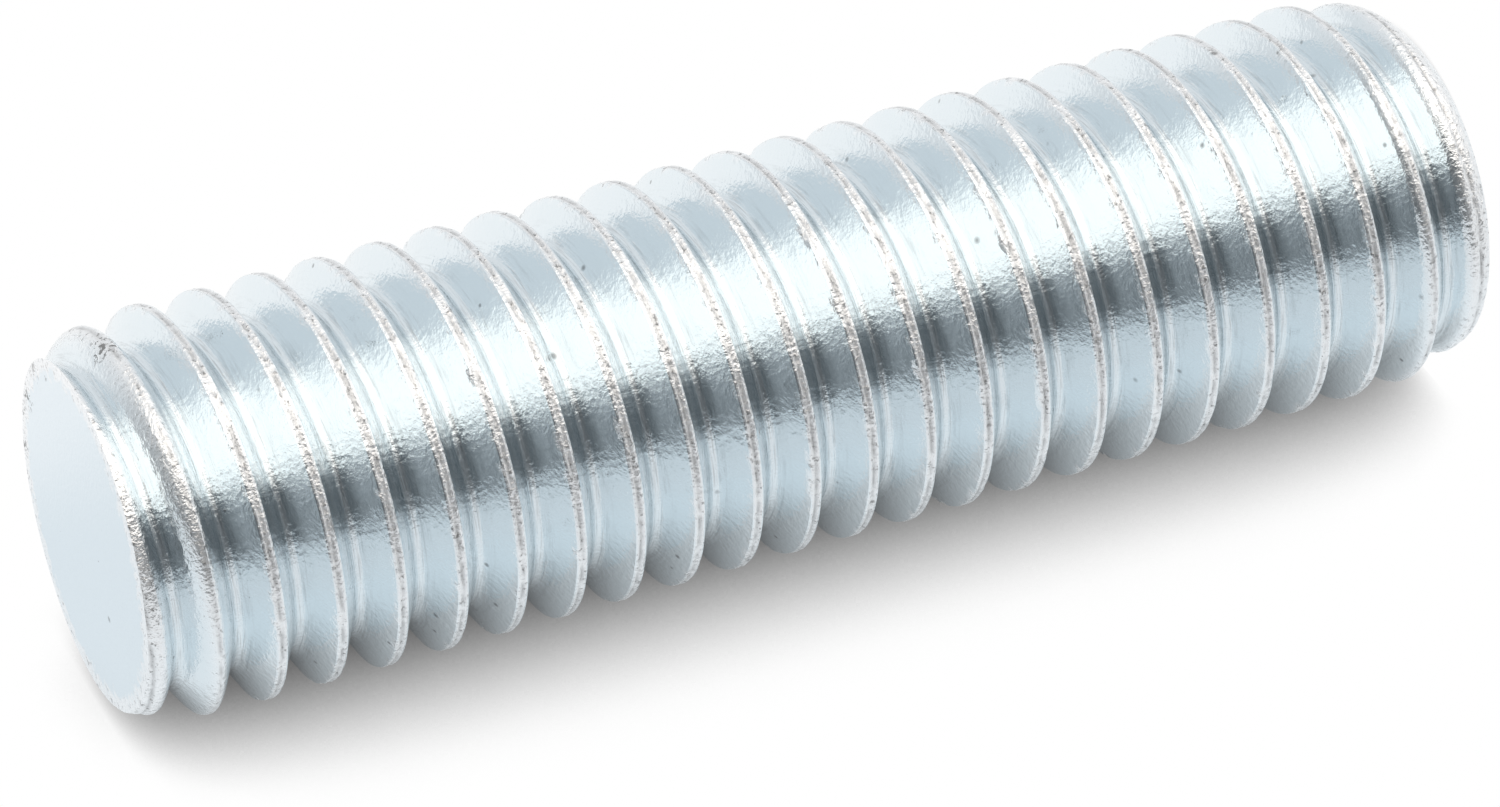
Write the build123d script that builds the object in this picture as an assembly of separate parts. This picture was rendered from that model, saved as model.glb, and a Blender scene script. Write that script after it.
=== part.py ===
from build123d import *
import os
from math import ceil, radians, tan

os.makedirs("parts", exist_ok=True)

# A short length of fully threaded rod in zinc-plated steel, M10 coarse, cut from rolled stock.
# The rod stands on one end: origin at the middle of the bottom face, +Z up the axis.
# Lengths are in millimetres and angles in degrees.

# Rod
length = 34.8                # a 35 mm length, cut a little short
major_diameter = 9.75        # over the crests, a little under the nominal 10 as rolled and plated

# Thread form, seen in a plane through the axis
pitch = 1.5
included_angle = 60.0        # between the two flanks of one groove
crest_flat = 0.24            # width of the flat on the crest
root_flat = 0.35             # width of the groove's bottom, about 8.17 across, as the standard has it
crest_angle = 168.0          # where a crest leaves the bottom face, counted from +X

# Ends
chamfer_depth = 0.55         # from the crests in to the edge of the end face
chamfer_length = 1.5         # along the axis: long and shallow, over one turn of the thread

# What follows from the sizes
crest_radius = major_diameter / 2
spare_turns = 2              # turns beyond each end face, which the ends then cut away
turn_count = ceil(length / pitch) + 2 * spare_turns
thread_start = -spare_turns * pitch


def turn_profile():
    """Corners of one turn as (radius, height): both edges of its crest, then both of the groove above."""
    depth = (pitch - crest_flat - root_flat) / 2 / tan(radians(included_angle / 2))
    root_radius = crest_radius - depth
    return [
        (crest_radius, -crest_flat / 2),
        (crest_radius, crest_flat / 2),
        (root_radius, (pitch - root_flat) / 2),
        (root_radius, (pitch + root_flat) / 2),
    ]


def thread_surface(corners):
    """One face per side of the profile and per turn, each ruled between two neighbouring helices."""
    helices = []
    for turn in range(turn_count + 1):
        base = thread_start + turn * pitch
        helices.append([Edge.make_helix(pitch, pitch, r, center=(0, 0, base + z)) for r, z in corners])
    faces = []
    for turn in range(turn_count):
        sides = helices[turn] + [helices[turn + 1][0]]
        faces += [Face.make_surface_from_curves(low, high) for low, high in zip(sides, sides[1:])]
    return faces


def turn_end(corners, turn):
    """Closes one end with a winding step from the axis to the thread, and the upright face that it leaves."""
    base = thread_start + turn * pitch
    radius, foot = corners[0]
    axis_edge = Edge.make_line((0, 0, base + foot), (0, 0, base + foot + pitch))
    winding_edge = Edge.make_helix(pitch, pitch, radius, center=(0, 0, base + foot))
    step = Face.make_surface_from_curves(axis_edge, winding_edge)
    outline = [(0, 0, base + foot)]
    outline += [(r, 0, base + z) for r, z in corners]
    outline += [(radius, 0, base + pitch + foot), (0, 0, base + pitch + foot)]
    return [step, Face(Wire.make_polygon(outline, close=True))]


def overlong_thread():
    """The thread with its core, running past both end faces."""
    corners = turn_profile()
    return Solid(Shell(thread_surface(corners) + turn_end(corners, 0) + turn_end(corners, turn_count)))


def chamfered_ends():
    """The turned shape that both ends are cut to, clear of the crests between them."""
    face_radius = crest_radius - chamfer_depth
    clear_radius = crest_radius + chamfer_depth
    outline = Polyline(
        (0, 0),
        (face_radius, 0),
        (clear_radius, 2 * chamfer_length),
        (clear_radius, length - 2 * chamfer_length),
        (face_radius, length),
        (0, length),
        close=True,
    )
    return revolve(Plane.XZ * make_face(outline), Axis.Z)


threaded_rod = Rot(0, 0, crest_angle) * (overlong_thread() & chamfered_ends())
export_step(threaded_rod, "parts/threaded_rod.step")
print("threaded rod", round(threaded_rod.volume, 1), "mm3,", len(threaded_rod.solids()), "solid")
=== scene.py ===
import bpy
from functools import partial
from math import cos, pi, radians, sin
from mathutils import Matrix, Vector


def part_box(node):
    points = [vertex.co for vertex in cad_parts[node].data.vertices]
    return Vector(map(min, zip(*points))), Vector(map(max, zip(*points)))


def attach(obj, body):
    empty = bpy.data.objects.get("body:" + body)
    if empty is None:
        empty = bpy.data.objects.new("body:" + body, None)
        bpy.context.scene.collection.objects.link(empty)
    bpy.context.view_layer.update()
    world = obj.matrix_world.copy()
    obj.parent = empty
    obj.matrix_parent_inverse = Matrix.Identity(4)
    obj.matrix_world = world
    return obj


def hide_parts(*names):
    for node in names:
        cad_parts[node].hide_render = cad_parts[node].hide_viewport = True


# A short fully threaded rod in zinc-plated steel, which stands on one end.
# The photograph shows it lying down, so the camera is rolled and the wall behind the rod is its table.
# Sizes in the dictionaries are millimetres and degrees; everything built from them is in metres.

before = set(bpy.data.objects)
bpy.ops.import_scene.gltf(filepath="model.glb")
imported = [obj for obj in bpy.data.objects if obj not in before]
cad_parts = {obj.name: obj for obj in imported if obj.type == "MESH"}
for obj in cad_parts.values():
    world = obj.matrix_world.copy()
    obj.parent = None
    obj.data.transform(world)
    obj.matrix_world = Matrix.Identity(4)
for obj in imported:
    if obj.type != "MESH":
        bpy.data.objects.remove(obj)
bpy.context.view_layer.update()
rodLow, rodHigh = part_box("threaded_rod")
mm = 0.001
noiseLow, noiseHigh = 0.3, 0.7     # the heights that a noise texture seldom leaves
print("stage: frame loaded,", round(rodHigh.z / mm, 2), "mm rod")


def linearColour(hexColour, level=1.0):
    # sRGB hex text to the linear colour that shaders use
    parts = [int(hexColour[i:i + 2], 16) / 255 for i in (1, 3, 5)]
    return [level * (p / 12.92 if p <= 0.04045 else ((p + 0.055) / 1.055) ** 2.4) for p in parts] + [1.0]


def addNode(tree, kind, links=(), **settings):
    # links: one value, socket or node for each input, in order or by name
    node = tree.nodes.new(kind)
    for name, value in settings.items():
        setattr(node, name, value)
    for key, value in (links.items() if isinstance(links, dict) else enumerate(links)):
        if isinstance(value, bpy.types.Node):
            value = value.outputs[0]
        if isinstance(value, bpy.types.NodeSocket):
            tree.links.new(value, node.inputs[key])
        elif value is not None:
            node.inputs[key].default_value = value
    return node


def emptyTree(owner):
    owner.use_nodes = True
    owner.node_tree.nodes.clear()
    return partial(addNode, owner.node_tree)


# Camera and stage

photoView = {
    "azimuth": -2.62,        # where the camera stands round the rod, from -Y
    "elevation": 19.12,      # above the rod's middle, along the rod
    "roll": -105.21,         # turns the standing rod until it lies as in the photograph
    "distance": 184.46,
    "aimHeight": 18.10,      # the point looked at, up the axis
    "aimAside": -1.15,       # and beside the axis
    "lens": 184.8,           # on a 36 mm sensor
}

tableAzimuth = 48.2          # the side that faces up in the photograph


def directionAt(azimuth, elevation=0.0):
    a, e = radians(azimuth), radians(elevation)
    return Vector((sin(a) * cos(e), -cos(a) * cos(e), sin(e)))


def addCamera(view):
    back = directionAt(view["azimuth"], view["elevation"])
    level = directionAt(view["azimuth"] + 90)
    tilted = back.cross(level)
    roll = radians(view["roll"])
    right = cos(roll) * level + sin(roll) * tilted
    upward = cos(roll) * tilted - sin(roll) * level
    aim = level * view["aimAside"] * mm + Vector((0, 0, view["aimHeight"] * mm))
    data = bpy.data.cameras.new("camera")
    data.lens = view["lens"]
    data.clip_start, data.clip_end = 0.01, 10.0
    camera = bpy.data.objects.new("camera", data)
    turn = Matrix((right, upward, back)).transposed().to_4x4()
    camera.matrix_world = Matrix.Translation(aim + back * view["distance"] * mm) @ turn
    bpy.context.collection.objects.link(camera)
    bpy.context.scene.camera = camera


paperLook = {
    "size": 1200.0,
    "shadowReach": 60.0,
    # glow of the paper, whose shadow is painted from ambient occlusion: where the rod touches it and in the
    # open, and the most that shows; 1 is white
    "wallPaintedShadow": (0.08, 1.63, 1.0),
    "floorPaintedShadow": (0.55, 3.0, 1.0),        # under the standing end, with only a faint painted shadow
    "mirroredPaintedShadow": (0.05, 1.50, 0.90),   # the wall again, as the rod mirrors it, with a darker painted shadow
    # bluish tint painted on the paper that the rod mirrors, and on its painted shadow
    "paintedReflectionTint": "#F6FBFE",
    "mirrorReach": 11.0,     # how far each side of the rod its flanks mirror the paper close by
    "mirrorFade": 5.0,       # over this width the table of the studio takes over
}


def paperMaterial(name, look, white, mirrored=False):
    # White studio paper, matt and glowing rather than lit: pure white in the open, with the rod's soft
    # shadow round its foot painted from ambient occlusion
    material = bpy.data.materials.new(name)
    add = emptyTree(material)
    paintedContactShade, inOpen, most = white
    # painted shadow: how much open sky each point sees sets how brightly the paper glows
    paintedShadeAO = add("ShaderNodeAmbientOcclusion", {"Distance": look["shadowReach"] * mm}, samples=16).outputs["AO"]
    level = add("ShaderNodeMapRange", {"Value": paintedShadeAO, "To Min": paintedContactShade, "To Max": inOpen})
    level = add("ShaderNodeMath", (level, most), operation="MINIMUM")
    tint = linearColour(look["paintedReflectionTint"]) if mirrored else (1, 1, 1, 1)
    paper = add("ShaderNodeEmission", {"Color": tint, "Strength": level})
    clear = add("ShaderNodeBsdfTransparent")
    hidden = add("ShaderNodeNewGeometry").outputs["Backfacing"]
    if mirrored:
        across = add("ShaderNodeSeparateXYZ", (add("ShaderNodeTexCoord").outputs["Object"],)).outputs["X"]
        away = add("ShaderNodeMath", (across,), operation="ABSOLUTE")
        fadeStart = (look["mirrorReach"] - look["mirrorFade"]) * mm
        fadeEnd = look["mirrorReach"] * mm
        fade = add("ShaderNodeMapRange", {"Value": away, "From Min": fadeStart, "From Max": fadeEnd},
                   interpolation_type="SMOOTHSTEP")
        hidden = add("ShaderNodeMath", (hidden, fade), operation="MAXIMUM")
    add("ShaderNodeOutputMaterial", (add("ShaderNodeMixShader", (hidden, paper, clear)),))
    return material


def addSheet(name, halfWidth, low, high, place, material, mirrored=False):
    # only the camera sees a sheet, or only the rod as it mirrors it
    mesh = bpy.data.meshes.new(name)
    corners = [(-halfWidth, low, 0), (halfWidth, low, 0), (halfWidth, high, 0), (-halfWidth, high, 0)]
    mesh.from_pydata([Vector(corner) * mm for corner in corners], [], [(0, 1, 2, 3)])
    mesh.materials.append(material)
    sheet = bpy.data.objects.new(name, mesh)
    sheet.matrix_world = place
    bpy.context.collection.objects.link(sheet)
    sheet.visible_camera, sheet.visible_glossy = not mirrored, mirrored
    sheet.visible_diffuse = sheet.visible_shadow = sheet.visible_transmission = False


def addPaper(look):
    half = look["size"] / 2
    floorPaperPaintedShadow = paperMaterial("floorPaperPaintedShadow", look, look["floorPaintedShadow"])
    wallPaperPaintedShadow = paperMaterial("wallPaperPaintedShadow", look, look["wallPaintedShadow"])
    nearPaperPaintedShadow = paperMaterial("nearPaperPaintedShadow", look, look["mirroredPaintedShadow"], mirrored=True)
    normal, along = directionAt(tableAzimuth), directionAt(tableAzimuth + 90)
    turn = Matrix((along, Vector((0, 0, 1)), normal)).transposed().to_4x4()
    wall = Matrix.Translation(-normal * rodHigh.x) @ turn
    addSheet("floor", half, -half, half, Matrix(), floorPaperPaintedShadow)
    addSheet("backWall", half, 0, half, wall, wallPaperPaintedShadow)
    # a glowing sheet on the wall that only the rod's mirror sees, so that its flanks mirror the painted
    # shadow close to the rod
    addSheet("nearPaperPaintedShadow", look["mirrorReach"], -half, half, wall, nearPaperPaintedShadow, mirrored=True)


studioLook = {
    "softbox": ("#FFFAF4", 1.50),      # large and soft, over the table
    "softboxTilt": 12.0,               # leans towards the camera
    "softboxAside": 10.4,
    "softboxTurn": -64.4,              # of its long way, from upright
    "softboxHalves": (0.850, 0.550),   # its long and short half, as shares of its distance
    "softboxEdge": (1.24, 0.78),       # where it fades, from outside to inside
    "farRoom": ("#FBFDFF", 0.84),      # pale wall behind the rod
    "cameraRoom": ("#EDF3F8", 0.15),   # unlit room round the camera
    "roomTurn": (-0.55, 0.93),         # spans are given by how far a direction leans one way, -1 to 1
    "farTable": ("#FFFFFF", 1.00),     # the white table, as the rod mirrors it
    "nearTable": ("#FBFDFF", 0.84),
    "tableTurn": (-0.2, 0.5),
    "tableFade": (-0.32, 0.04),        # the near table darkens towards its far edge
    "horizon": (-0.02, 0.03),
}


def addStudio(look):
    # What the rod mirrors in each direction: a white table, a softbox and a room that darkens towards
    # the camera. The camera itself sees plain white, and mirror rays see the table as white.
    world = bpy.data.worlds.new("studio")
    bpy.context.scene.world = world
    add = emptyTree(world)
    tableUp = directionAt(tableAzimuth)
    toCamera = directionAt(photoView["azimuth"], photoView["elevation"])
    toCamera = (toCamera - tableUp * toCamera.dot(tableUp)).normalized()
    tilt, aside, turn = (radians(look["softbox" + name]) for name in ("Tilt", "Aside", "Turn"))
    leaning = tableUp * cos(tilt) + toCamera * sin(tilt)
    toSoftbox = leaning * cos(aside) + tableUp.cross(toCamera) * sin(aside)
    upright = toCamera * cos(tilt) - tableUp * sin(tilt)
    level = toSoftbox.cross(upright)
    longWay = (upright * cos(turn) + level * sin(turn)) / look["softboxHalves"][0]
    shortWay = (level * cos(turn) - upright * sin(turn)) / look["softboxHalves"][1]
    outward = add("ShaderNodeTexCoord").outputs["Generated"]
    across = [add("ShaderNodeVectorMath", (outward, way), operation="DOT_PRODUCT").outputs["Value"]
              for way in (longWay, shortWay)]
    across = add("ShaderNodeCombineXYZ", across)
    fromSoftbox = add("ShaderNodeVectorMath", (across,), operation="LENGTH").outputs["Value"]
    outside, inside = look["softboxEdge"]
    shares = {"softbox": add("ShaderNodeMapRange", {"Value": fromSoftbox, "From Min": outside,
                                                    "From Max": inside}, interpolation_type="SMOOTHSTEP")}
    for name, direction, span in (("room", toCamera, look["roomTurn"]),
                                  ("table", toCamera, look["tableTurn"]),
                                  ("fade", tableUp, look["tableFade"]),
                                  ("horizon", tableUp, look["horizon"])):
        towards = add("ShaderNodeVectorMath", (outward, direction), operation="DOT_PRODUCT").outputs["Value"]
        shares[name] = add("ShaderNodeMapRange", {"Value": towards, "From Min": span[0],
                                                  "From Max": span[1]}, interpolation_type="SMOOTHSTEP")
    nearFade = add("ShaderNodeMath", (shares["fade"], shares["table"]), operation="MULTIPLY")
    toneNames = ("softbox", "farRoom", "cameraRoom", "farTable", "nearTable")
    tones = {name: linearColour(*look[name]) for name in toneNames}
    room = add("ShaderNodeMixRGB", (shares["room"], tones["farRoom"], tones["cameraRoom"]))
    room = add("ShaderNodeMixRGB", (shares["softbox"], room, tones["softbox"]))
    table = add("ShaderNodeMixRGB", (shares["table"], tones["farTable"], tones["nearTable"]))
    table = add("ShaderNodeMixRGB", (nearFade, table, tones["cameraRoom"]))
    mirrored = add("ShaderNodeMixRGB", (shares["horizon"], table, room))
    seen = add("ShaderNodeLightPath").outputs["Is Camera Ray"]
    colour = add("ShaderNodeMixRGB", (seen, mirrored, (1, 1, 1, 1)))
    add("ShaderNodeOutputWorld", (add("ShaderNodeBackground", {"Color": colour, "Strength": 1.0}),))


addCamera(photoView)
addPaper(paperLook)
addStudio(studioLook)
bpy.context.scene.view_settings.view_transform = "Standard"
print("stage: camera, paper and studio")


# Zinc plating

zincLook = {
    "flankColour": "#E8F0F4",      # bright zinc on the rolled flanks
    "crestColour": "#FBFCFD",      # whiter on the torn crest
    "seamColour": "#CFD0D1",       # thin in the seam
    "pitColour": "#4E4B49",
    "cutColour": "#E9F1F6",        # zinc over the sawn end
    "flankRoughness": 0.10,
    "crestRoughness": 0.36,
    "seamRoughness": 0.50,
    "cutRoughness": 0.36,
    "grainSize": 0.13,             # the plating's grain, coarser than it is so that it shows
    "flankGrain": 0.014,           # its depth on the flanks
    "crestGrain": 0.055,           # and on the crest
    "rippleSize": 0.30,            # waves that the rolling leaves
    "rippleDepth": 0.010,
    "streakSize": (0.055, 1.4),    # scratches along the groove: width and length
    "streakDepth": 0.020,
    "pitSpacing": 1.0,
    "pitSize": 0.12,
    "pitDark": 0.6,
    # from and to: the grain's height where specks begin and end, and how dark they get
    "crestSpecks": (0.60, 0.70, 0.60),
    "rimSpecks": (0.58, 0.70, 0.45),
    "scoring": (0.50, 0.68, 0.25),     # of the streaks instead of the grain
    "markSpecks": (0.40, 0.60),        # the grain that breaks the marks up
    "markGrowth": (0.4, 3.2),
    "rimWidth": 0.09,                  # ragged edge of the sawn end, as a share of its radius
}

# Marks: angle from +X, distance from the axis, height, size and how dark
rolledMarks = (
    (-33.0, 4.68, 33.75, 0.50, 0.75),
    (-31.0, 4.13, 34.50, 0.09, 0.70),
    (-38.7, 4.46, 31.00, 0.08, 0.85),
    (-127.7, 4.23, 32.26, 0.06, 0.80),
)
cutMarks = (
    (22.0, 3.78, 34.80, 0.34, 0.75),
    (49.5, 3.95, 34.80, 0.40, 0.75),
    (2.0, 4.10, 34.80, 0.40, 0.50),
    (34.0, 4.10, 34.80, 0.44, 0.50),
    (64.0, 4.10, 34.80, 0.36, 0.50),
    (-11.0, 3.73, 34.80, 0.09, 0.60),
    (81.6, 1.95, 34.80, 0.05, 0.50),
    (-132.0, 4.05, 34.80, 0.10, 0.50),
)


def platingGrain(add, place, look):
    # Grain and wider waves of the zinc, as heights from 0 to 1
    grainScale, rippleScale = 1 / (look["grainSize"] * mm), 1 / (look["rippleSize"] * mm)
    grain = add("ShaderNodeTexNoise", {"Vector": place, "Scale": grainScale, "Detail": 2.0,
                                       "Roughness": 0.6})
    ripple = add("ShaderNodeTexNoise", {"Vector": place, "Scale": rippleScale, "Detail": 3.0})
    return grain, ripple


def darkShare(add, place, grain, marks, look):
    # How much of each spot is dark: small pits all over, and the marks of the photograph
    largestPit, smallestPit, bedShare = look["pitSize"] / look["pitSpacing"], 0.001, 0.4
    cell = add("ShaderNodeTexVoronoi", {"Vector": place, "Scale": 1 / (look["pitSpacing"] * mm)})
    chosen = add("ShaderNodeSeparateColor", (cell.outputs["Color"],)).outputs["Red"]
    pitEdge = add("ShaderNodeMath", (chosen, largestPit, smallestPit), operation="MULTIPLY_ADD")
    pitBed = add("ShaderNodeMath", (pitEdge, bedShare), operation="MULTIPLY")
    dark = add("ShaderNodeMapRange", {"Value": cell.outputs["Distance"], "From Min": pitEdge,
                                      "From Max": pitBed, "To Max": look["pitDark"]})
    (grainLow, grainHigh), (least, most) = look["markSpecks"], look["markGrowth"]
    ragged = add("ShaderNodeMapRange", {"Value": grain, "From Min": grainLow, "From Max": grainHigh,
                                        "To Min": least, "To Max": most})
    for angle, radius, height, markSize, share in marks:
        spot = Vector((radius * cos(radians(angle)), radius * sin(radians(angle)), height)) * mm
        away = add("ShaderNodeVectorMath", (place, spot), operation="DISTANCE").outputs["Value"]
        away = add("ShaderNodeMath", (away, ragged), operation="MULTIPLY")
        mark = add("ShaderNodeMapRange", {"Value": away, "From Min": markSize * mm / 2,
                                          "From Max": markSize * mm / 4, "To Max": share})
        dark = add("ShaderNodeMath", (dark, mark), operation="MAXIMUM")
    return dark


def zincRolled(look):
    # Bright zinc with a faint blue passivate over a rolled thread: a soft mirror on the flanks, streaked
    # along the groove, with two grainy white lips along the crest and a duller seam between them
    material = bpy.data.materials.new("zincPlatedRolledThread")
    add = emptyTree(material)
    place = add("ShaderNodeTexCoord").outputs["Object"]
    crest = add("ShaderNodeAttribute", attribute_name="crest").outputs["Fac"]
    seam = add("ShaderNodeAttribute", attribute_name="seam").outputs["Fac"]
    wound = add("ShaderNodeAttribute", attribute_name="wound").outputs["Vector"]
    inGroove = add("ShaderNodeSeparateXYZ", (wound,)).outputs["Z"]
    width, run = look["streakSize"]
    streaks = add("ShaderNodeVectorMath", (wound, (1 / width, 1 / run, 0)), operation="MULTIPLY")
    streak = add("ShaderNodeTexNoise", {"Vector": streaks, "Scale": 1.0, "Detail": 3.0, "Roughness": 0.6})
    grain, ripple = platingGrain(add, place, look)
    dark = darkShare(add, place, grain, rolledMarks, look)
    begin, end, share = look["crestSpecks"]
    speck = add("ShaderNodeMapRange", {"Value": grain, "From Min": begin, "From Max": end, "To Max": share})
    speck = add("ShaderNodeMath", (speck, crest), operation="MULTIPLY")
    dark = add("ShaderNodeMath", (dark, speck), operation="MAXIMUM")
    begin, end, share = look["scoring"]
    scored = add("ShaderNodeMapRange", {"Value": streak, "From Min": begin, "From Max": end,
                                        "To Max": share})
    scored = add("ShaderNodeMath", (scored, inGroove), operation="MULTIPLY")
    dark = add("ShaderNodeMath", (dark, scored), operation="MAXIMUM")
    flankTone, crestTone = linearColour(look["flankColour"]), linearColour(look["crestColour"])
    colour = add("ShaderNodeMixRGB", (crest, flankTone, crestTone))
    colour = add("ShaderNodeMixRGB", (seam, colour, linearColour(look["seamColour"])))
    colour = add("ShaderNodeMixRGB", (dark, colour, linearColour(look["pitColour"])))
    rough = add("ShaderNodeMapRange", {"Value": crest, "To Min": look["flankRoughness"],
                                       "To Max": look["crestRoughness"]})
    rough = add("ShaderNodeMapRange", {"Value": seam, "To Min": rough, "To Max": look["seamRoughness"]})
    wave = add("ShaderNodeBump", {"Strength": 1.0, "Distance": look["rippleDepth"] * mm, "Height": ripple})
    scratch = add("ShaderNodeMath", (inGroove, look["streakDepth"] * mm), operation="MULTIPLY")
    wave = add("ShaderNodeBump", {"Strength": 1.0, "Distance": scratch, "Height": streak, "Normal": wave})
    depth = add("ShaderNodeMapRange", {"Value": crest, "To Min": look["flankGrain"] * mm,
                                       "To Max": look["crestGrain"] * mm})
    relief = add("ShaderNodeBump", {"Strength": 1.0, "Distance": depth, "Height": grain, "Normal": wave})
    metal = add("ShaderNodeBsdfPrincipled", {"Base Color": colour, "Metallic": 1.0, "Roughness": rough,
                                             "Normal": relief})
    add("ShaderNodeOutputMaterial", (metal,))
    return material


def zincCut(look):
    # The same zinc over a sawn end: pale and satin, with a rough edge where the saw broke out
    material = bpy.data.materials.new("zincPlatedSawnEnd")
    add = emptyTree(material)
    place = add("ShaderNodeTexCoord").outputs["Object"]
    grain, patch = platingGrain(add, place, look)
    outward = add("ShaderNodeAttribute", attribute_name="rim").outputs["Fac"]
    stray = 0.6 * look["rimWidth"]
    ragged = add("ShaderNodeMapRange", {"Value": patch, "From Min": noiseLow, "From Max": noiseHigh,
                                        "To Min": -stray, "To Max": stray})
    outward = add("ShaderNodeMath", (outward, ragged), operation="ADD")
    rim = add("ShaderNodeMapRange", {"Value": outward, "From Min": 1 - 2 * stray, "From Max": 1 - stray})
    dark = darkShare(add, place, grain, cutMarks, look)
    begin, end, share = look["rimSpecks"]
    speck = add("ShaderNodeMapRange", {"Value": grain, "From Min": begin, "From Max": end, "To Max": share})
    speck = add("ShaderNodeMath", (speck, rim), operation="MULTIPLY")
    dark = add("ShaderNodeMath", (dark, speck), operation="MAXIMUM")
    cutTone, crestTone = linearColour(look["cutColour"]), linearColour(look["crestColour"])
    colour = add("ShaderNodeMixRGB", (rim, cutTone, crestTone))
    colour = add("ShaderNodeMixRGB", (dark, colour, linearColour(look["pitColour"])))
    depth = add("ShaderNodeMapRange", {"Value": rim, "To Min": look["flankGrain"] * mm,
                                       "To Max": look["crestGrain"] * mm})
    relief = add("ShaderNodeBump", {"Strength": 1.0, "Distance": depth, "Height": grain})
    metal = add("ShaderNodeBsdfPrincipled", {"Base Color": colour, "Metallic": 1.0,
                                             "Roughness": look["cutRoughness"], "Normal": relief})
    add("ShaderNodeOutputMaterial", (metal,))
    return material


# Threaded rod

rodSizes = {
    "Length": rodHigh.z / mm,
    "Crest Radius": rodHigh.x / mm,
    "Pitch": 1.5,
    "Included Angle": 60.0,
    "Crest Flat": 0.24,
    "Root Radius": 0.2,
    "Crest Angle": 168.0,
    "Chamfer Depth": 0.55,
    "Chamfer Length": 1.5,
    "Edge Rounding": 0.06,
    "End Rounding": 0.55,
    "End Reach": 2.6,
    "Seam Depth": 0.05,
    "Seam Width": 0.09,
    "Raggedness": 0.035,
    "Rag Size": 0.22,
}
rodAngles = ("Included Angle", "Crest Angle")
rodCounts = {"Segments": 156, "Rows": 22, "Seed": 7}


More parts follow.
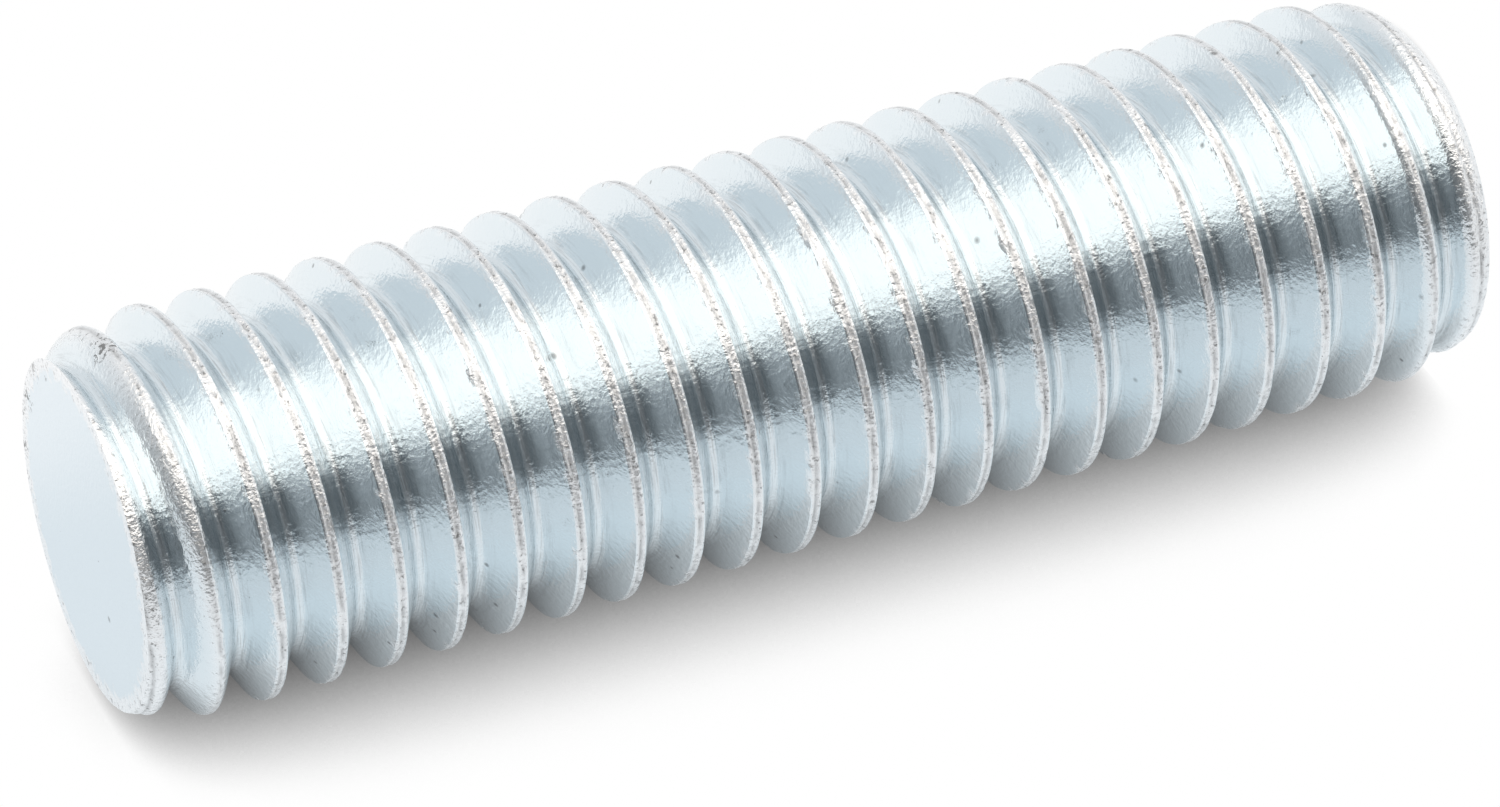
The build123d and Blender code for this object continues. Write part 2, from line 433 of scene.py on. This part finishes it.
def rodTree(name):
    tree = bpy.data.node_groups.new(name, "GeometryNodeTree")
    tree.interface.new_socket("Geometry", in_out="OUTPUT", socket_type="NodeSocketGeometry")
    for labels, kind in ((rodSizes, "NodeSocketFloat"), (rodCounts, "NodeSocketInt"),
                         (("Thread Material", "End Material"), "NodeSocketMaterial")):
        for label in labels:
            tree.interface.new_socket(label, in_out="INPUT", socket_type=kind)
    add = partial(addNode, tree)
    size = add("NodeGroupInput").outputs
    pitch, length = size["Pitch"], size["Length"]
    halfPitch = add("ShaderNodeMath", (pitch, 0.5), operation="MULTIPLY")

    # One long strip: u counts turns up the rod, v runs from the middle of one crest to the next
    crestTurn = add("ShaderNodeMath", (size["Crest Angle"], 2 * pi), operation="DIVIDE")
    firstTurn = add("ShaderNodeMath", (crestTurn,), operation="FLOOR")
    firstTurn = add("ShaderNodeMath", (firstTurn, 1.0), operation="SUBTRACT")
    lastTurn = add("ShaderNodeMath", (length, pitch), operation="DIVIDE")
    lastTurn = add("ShaderNodeMath", (lastTurn, crestTurn), operation="ADD")
    turns = add("ShaderNodeMath", (lastTurn, firstTurn), operation="SUBTRACT")
    turns = add("ShaderNodeMath", (turns,), operation="CEIL")
    columns = add("ShaderNodeMath", (turns, size["Segments"], 1.0), operation="MULTIPLY_ADD")
    rows = add("ShaderNodeMath", (size["Rows"], 1.0), operation="ADD")
    strip = add("GeometryNodeMeshGrid", {"Size X": 1.0, "Size Y": 1.0, "Vertices X": columns,
                                         "Vertices Y": rows})
    flat = add("ShaderNodeSeparateXYZ", (add("GeometryNodeInputPosition"),)).outputs
    u = add("ShaderNodeMath", (flat["X"], 0.5), operation="ADD")
    u = add("ShaderNodeMath", (u, turns, firstTurn), operation="MULTIPLY_ADD")
    v = add("ShaderNodeMath", (flat["Y"], 0.5), operation="ADD")
    rowCrowding = 0.6 / (4 * pi)     # rows stand closer together at the crest and the root
    wave = add("ShaderNodeMath", (v, 4 * pi), operation="MULTIPLY")
    wave = add("ShaderNodeMath", (wave,), operation="SINE")
    v = add("ShaderNodeMath", (wave, -rowCrowding, v), operation="MULTIPLY_ADD")

    # Height of each point, cut off level at both end faces, and how far it is from crest and root
    crestHeight = add("ShaderNodeMath", (u, crestTurn), operation="SUBTRACT")
    crestHeight = add("ShaderNodeMath", (crestHeight, pitch), operation="MULTIPLY")
    height = add("ShaderNodeMath", (v, pitch, crestHeight), operation="MULTIPLY_ADD")
    height = add("ShaderNodeClamp", {"Value": height, "Min": 0.0, "Max": length})
    phase = add("ShaderNodeMath", (height, crestHeight), operation="SUBTRACT")
    phase = add("ShaderNodeMath", (phase, pitch, 0.0), operation="WRAP")
    fromCrest = add("ShaderNodeMath", (phase, halfPitch), operation="PINGPONG")
    fromRoot = add("ShaderNodeMath", (halfPitch, fromCrest), operation="SUBTRACT")

    # Thread form: flat flanks, which would meet in a sharp root
    halfAngle = add("ShaderNodeMath", (size["Included Angle"], 0.5), operation="MULTIPLY")
    slope = add("ShaderNodeMath", (halfAngle,), operation="TANGENT")
    slope = add("ShaderNodeMath", (1.0, slope), operation="DIVIDE")
    grooveHalf = add("ShaderNodeMath", (pitch, size["Crest Flat"]), operation="SUBTRACT")
    grooveHalf = add("ShaderNodeMath", (grooveHalf, 0.5), operation="MULTIPLY")
    sharpDepth = add("ShaderNodeMath", (grooveHalf, slope), operation="MULTIPLY")
    sharpRoot = add("ShaderNodeMath", (size["Crest Radius"], sharpDepth), operation="SUBTRACT")
    flank = add("ShaderNodeMath", (fromRoot, slope, sharpRoot), operation="MULTIPLY_ADD")

    # An arc, tangent to both flanks, rounds the root
    rounding = size["Root Radius"]
    centre = add("ShaderNodeMath", (halfAngle,), operation="SINE")
    centre = add("ShaderNodeMath", (rounding, centre), operation="DIVIDE")
    centre = add("ShaderNodeMath", (centre, sharpRoot), operation="ADD")
    aside = add("ShaderNodeMath", (fromRoot, rounding), operation="MINIMUM")
    aside = add("ShaderNodeMath", (aside, 2.0), operation="POWER")
    drop = add("ShaderNodeMath", (rounding, 2.0), operation="POWER")
    drop = add("ShaderNodeMath", (drop, aside), operation="SUBTRACT")
    drop = add("ShaderNodeMath", (drop,), operation="SQRT")
    root = add("ShaderNodeMath", (centre, drop), operation="SUBTRACT")
    rootEdge = add("ShaderNodeMath", (halfAngle,), operation="COSINE")
    rootEdge = add("ShaderNodeMath", (rounding, rootEdge), operation="MULTIPLY")
    inRoot = add("ShaderNodeMath", (fromRoot, rootEdge), operation="LESS_THAN")
    groove = add("ShaderNodeMix", (inRoot, None, flank, root))

    # Ends: a long chamfer, and a first turn whose crest the rolling has left round and broad
    fromEnd = add("ShaderNodeMath", (length, height), operation="SUBTRACT")
    fromEnd = add("ShaderNodeMath", (height, fromEnd), operation="MINIMUM")
    faceRadius = add("ShaderNodeMath", (size["Crest Radius"], size["Chamfer Depth"]), operation="SUBTRACT")
    outer = add("ShaderNodeMapRange", {"Value": fromEnd, "From Max": size["Chamfer Length"],
                                       "To Min": faceRadius, "To Max": size["Crest Radius"]})
    edge = add("ShaderNodeMapRange", {"Value": fromEnd, "From Min": size["Chamfer Length"],
                                      "From Max": size["End Reach"], "To Min": size["End Rounding"],
                                      "To Max": size["Edge Rounding"]}, interpolation_type="SMOOTHSTEP")
    radius = add("ShaderNodeMath", (groove, outer, edge), operation="SMOOTH_MIN")

    # Place round the axis, and a ragged noise along the crest
    angle = add("ShaderNodeMath", (u, 2 * pi), operation="MULTIPLY")
    cosine = add("ShaderNodeMath", (angle,), operation="COSINE")
    sine = add("ShaderNodeMath", (angle,), operation="SINE")
    around = add("ShaderNodeCombineXYZ", (cosine, sine))
    upright = add("ShaderNodeCombineXYZ", {"Z": height})
    bare = add("ShaderNodeVectorMath", (around, size["Crest Radius"], upright), operation="MULTIPLY_ADD")
    ragScale = add("ShaderNodeMath", (1.0, size["Rag Size"]), operation="DIVIDE")
    rag = add("ShaderNodeTexNoise", {"Vector": bare, "W": size["Seed"], "Detail": 2.0, "Scale": ragScale},
              noise_dimensions="4D").outputs["Fac"]

    # Crest: rolling leaves a shallow seam between two lips, which are torn here and there
    mostStray = 0.06                 # mm that the crest's edge strays
    bandShare = 0.6                  # of the rounding, each side of the crest's edge
    tornFrom, tornTo = 0.45, 0.75    # heights of the noise
    closedFrom, openFrom = 0.66, 0.40
    stray = add("ShaderNodeMapRange", {"Value": rag, "From Min": noiseLow, "From Max": noiseHigh,
                                       "To Min": -mostStray, "To Max": mostStray})
    over = add("ShaderNodeMath", (groove, outer), operation="SUBTRACT")
    over = add("ShaderNodeMath", (over, stray), operation="ADD")
    band = add("ShaderNodeMath", (edge, bandShare), operation="MULTIPLY")
    below = add("ShaderNodeMath", (band, -1.0), operation="MULTIPLY")
    crest = add("ShaderNodeMapRange", {"Value": over, "From Min": below, "From Max": band},
                interpolation_type="SMOOTHSTEP")
    torn = add("ShaderNodeMapRange", {"Value": rag, "From Min": tornFrom, "From Max": tornTo,
                                      "To Max": size["Raggedness"]}, interpolation_type="SMOOTHSTEP")
    torn = add("ShaderNodeMath", (torn, crest), operation="MULTIPLY")
    seam = add("ShaderNodeMapRange", {"Value": fromCrest, "From Min": size["Seam Width"], "From Max": 0.0},
               interpolation_type="SMOOTHSTEP")
    unbroken = add("ShaderNodeMapRange", {"Value": rag, "From Min": closedFrom, "From Max": openFrom},
                   interpolation_type="SMOOTHSTEP")
    seam = add("ShaderNodeMath", (seam, unbroken), operation="MULTIPLY")
    seam = add("ShaderNodeMath", (seam, crest), operation="MULTIPLY")
    sunk = add("ShaderNodeMath", (seam, size["Seam Depth"], torn), operation="MULTIPLY_ADD")
    radius = add("ShaderNodeMath", (radius, sunk), operation="SUBTRACT")

    # What the materials read; wound holds mm across the thread, mm along it, and nearness to the root
    grooveFrom, grooveTo = 0.36, 0.12
    weldDistance = 0.001
    inGroove = add("ShaderNodeMapRange", {"Value": fromRoot, "From Min": grooveFrom, "From Max": grooveTo})
    along = add("ShaderNodeMath", (angle, size["Crest Radius"]), operation="MULTIPLY")
    wound = add("ShaderNodeCombineXYZ", (phase, along, inGroove))
    for label, value, kind in (("crest", crest, "FLOAT"), ("seam", seam, "FLOAT"), ("rim", 1.0, "FLOAT"),
                               ("wound", wound, "FLOAT_VECTOR")):
        strip = add("GeometryNodeStoreNamedAttribute", {"Geometry": strip, "Name": label, "Value": value},
                    data_type=kind, domain="POINT")
    spot = add("ShaderNodeVectorMath", (around, radius, upright), operation="MULTIPLY_ADD")
    shaped = add("GeometryNodeSetPosition", {"Geometry": strip, "Position": spot})
    closed = add("GeometryNodeMergeByDistance", {"Geometry": shaped, "Distance": weldDistance})

    # End faces: each open rim runs in to a point on the axis
    neighbours = add("GeometryNodeInputMeshEdgeNeighbors")
    openEdge = add("ShaderNodeMath", (neighbours, 1.5), operation="LESS_THAN")
    ends = add("GeometryNodeExtrudeMesh", {"Mesh": closed, "Selection": openEdge, "Offset Scale": 0.0},
               mode="EDGES")
    inner = ends.outputs["Top"]
    level = add("ShaderNodeSeparateXYZ", (add("GeometryNodeInputPosition"),)).outputs["Z"]
    pole = add("ShaderNodeCombineXYZ", {"Z": level})
    ends = add("GeometryNodeSetPosition", {"Geometry": ends, "Selection": inner, "Position": pole})
    ends = add("GeometryNodeStoreNamedAttribute", {"Geometry": ends, "Selection": inner, "Name": "rim",
                                                   "Value": 0.0}, data_type="FLOAT", domain="POINT")
    ends = add("GeometryNodeMergeByDistance", {"Geometry": ends, "Distance": weldDistance})

    # The end faces shade flat, and sharp edges stay sharp
    levelFacing, sharpBend = 0.99, radians(32)
    facing = add("ShaderNodeSeparateXYZ", (add("GeometryNodeInputNormal"),)).outputs["Z"]
    facing = add("ShaderNodeMath", (facing,), operation="ABSOLUTE")
    onEnd = add("ShaderNodeMath", (facing, levelFacing), operation="GREATER_THAN")
    shaded = add("GeometryNodeSetShadeSmooth", {"Geometry": ends})
    shaded = add("GeometryNodeSetShadeSmooth", {"Geometry": shaded, "Selection": onEnd,
                                                "Shade Smooth": False})
    bend = add("GeometryNodeInputMeshEdgeAngle").outputs["Unsigned Angle"]
    sharp = add("ShaderNodeMath", (bend, sharpBend), operation="GREATER_THAN")
    shaded = add("GeometryNodeStoreNamedAttribute", {"Geometry": shaded, "Name": "sharp_edge",
                                                     "Value": sharp}, data_type="BOOLEAN", domain="EDGE")
    scaled = add("GeometryNodeTransform", {"Geometry": shaded, "Scale": (mm, mm, mm)})
    done = add("GeometryNodeRealizeInstances", {"Geometry": scaled})
    done = add("GeometryNodeSetMaterial", {"Geometry": done, "Material": size["Thread Material"]})
    done = add("GeometryNodeSetMaterial", {"Geometry": done, "Selection": onEnd,
                                           "Material": size["End Material"]})
    add("NodeGroupOutput", (done,))
    return tree


def makeRod():
    base = bpy.data.objects.new("rodBase", bpy.data.meshes.new("rodBase"))
    bpy.context.collection.objects.link(base)
    tree = rodTree("threadedRodTree")
    maker = base.modifiers.new("threadedRodTree", "NODES")
    maker.node_group = tree
    values = {**rodSizes, **rodCounts}
    values["Thread Material"], values["End Material"] = zincRolled(zincLook), zincCut(zincLook)
    for label in rodAngles:
        values[label] = radians(values[label])
    for item in tree.interface.items_tree:
        if item.in_out == "INPUT":
            maker[item.identifier] = values[item.name]
    bpy.context.view_layer.update()
    made = base.evaluated_get(bpy.context.evaluated_depsgraph_get())
    mesh = bpy.data.meshes.new_from_object(made)
    bpy.data.objects.remove(base)
    mesh.name = "threadedRod"
    rod = bpy.data.objects.new("threadedRod", mesh)
    bpy.context.collection.objects.link(rod)
    return rod


rod = makeRod()
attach(rod, "root")
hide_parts("threaded_rod")
rod.data.calc_loop_triangles()
print("stage: threaded rod,", len(rod.data.loop_triangles), "triangles")
